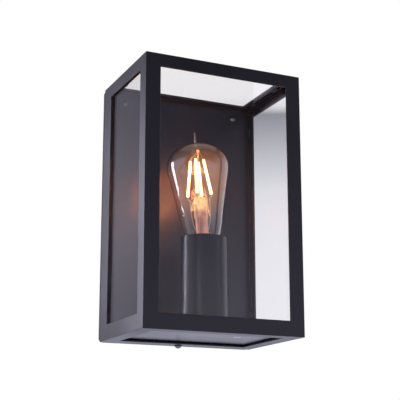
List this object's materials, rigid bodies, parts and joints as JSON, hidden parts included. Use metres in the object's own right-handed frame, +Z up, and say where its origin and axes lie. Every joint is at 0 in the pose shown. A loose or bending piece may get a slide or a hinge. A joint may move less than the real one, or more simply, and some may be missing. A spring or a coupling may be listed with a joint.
{
  "type": "outdoor wall lantern",
  "caption": "Glazed box lantern for a wall: a frame open at the back slides over a folded back pan and shelf with a tall socket cover and a screw-in filament lamp.",
  "frame": {"origin": "the middle of the wall-side face, on the wall plane, at half the lantern's width and height", "axes": "+Y into the wall, +X to the right as seen from the front, +Z up; the lantern stands out towards -Y"},
  "size_m": [0.16, 0.116, 0.2568],
  "materials": {
    "frame_coat": "anthracite powder coat, fine satin texture",
    "pan_coat": "anthracite powder coat, satin",
    "cover_coat": "black satin paint with a soft sheen",
    "window_glass": "clear float glass",
    "silicone": "black silicone",
    "clip_steel": "blackened spring steel",
    "dark_steel": "black plated steel",
    "foam": "closed-cell foam",
    "zinc_plate": "zinc-plated steel",
    "bright_zinc": "bright plated steel",
    "rubber": "black rubber",
    "porcelain": "white glazed porcelain",
    "brass": "plain brass",
    "terminal_plastic": "off-white polyamide",
    "brown_sleeve": "brown silicone sleeve",
    "blue_sleeve": "blue silicone sleeve",
    "earth_sleeve": "green and yellow sleeve",
    "solder": "solder",
    "black_glass": "black vitrite",
    "cap_metal": "nickel-plated brass",
    "bulb_glass": "clear blown glass",
    "stem_glass": "clear lead glass",
    "filament": "phosphor-coated filament, lit",
    "lead_wire": "nickel wire",
    "cement": "basing cement"
  },
  "bodies": {
    "chassis": {"back_pan": "pan_coat", "lamp_shelf": "pan_coat", "shelf_rivets": "dark_steel", "wall_gasket": "foam", "wall_bracket": "zinc_plate", "bracket_nuts": "zinc_plate", "plate_screws": "dark_steel", "cable_grommet": "rubber", "captive_nut": "zinc_plate", "socket_cover": "cover_coat", "socket_base": "zinc_plate", "threaded_tube": "zinc_plate", "tube_nuts": "zinc_plate", "lampholder": "porcelain", "thread_shell": "brass", "centre_contact": "brass", "terminal_block": "terminal_plastic", "terminal_screws": "brass", "earth_screw": "bright_zinc", "earth_tag": "bright_zinc", "earth_nut": "bright_zinc", "brown_wire": "brown_sleeve", "blue_wire": "blue_sleeve", "earth_wire": "earth_sleeve"},
    "cage": {"front_frame": "frame_coat", "left_frame": "frame_coat", "right_frame": "frame_coat", "top_frame": "frame_coat", "bottom_frame": "frame_coat", "front_glass": "window_glass", "left_glass": "window_glass", "right_glass": "window_glass", "top_glass": "window_glass", "front_seal": "silicone", "left_seal": "silicone", "right_seal": "silicone", "top_seal": "silicone", "glass_clips": "clip_steel"},
    "screw_washer": {"cover_washer": "rubber"},
    "cage_screw": {"cover_screw": "dark_steel"},
    "lamp_foot": {"cap_contact": "solder"},
    "lamp": {"cap_insulator": "black_glass", "lamp_cap": "cap_metal", "cap_cement": "cement", "bulb_glass": "bulb_glass", "glass_stem": "stem_glass", "filaments": "filament", "filament_leads": "lead_wire"}
  },
  "joints": [
    {"name": "cage_slide", "type": "slide", "parent": "chassis", "child": "cage", "axis": [0, -1, 0], "range_m": [0, 0.12]},
    {"name": "cover_lift", "type": "slide", "parent": "chassis", "child": "screw_washer", "axis": [0, 0, -1], "range_m": [0, 0.007]},
    {"name": "cover_turn", "type": "hinge", "parent": "screw_washer", "child": "cage_screw", "pos_m": [0, -0.007, -0.127], "axis": [0, 0, -1], "range_deg": [0, 3600]},
    {"name": "lamp_lift", "type": "slide", "parent": "chassis", "child": "lamp_foot", "axis": [0, 0, 1], "range_m": [0, 0.0181]},
    {"name": "lamp_turn", "type": "hinge", "parent": "lamp_foot", "child": "lamp", "pos_m": [0, -0.066, -0.069], "axis": [0, 0, 1], "range_deg": [0, 1800]}
  ],
  "couplings": [
    {"joint": "cover_turn", "follows": "cover_lift", "rad_per_m": 8976},
    {"joint": "lamp_lift", "follows": "lamp_turn", "m_per_rad": 0.000576}
  ]
}
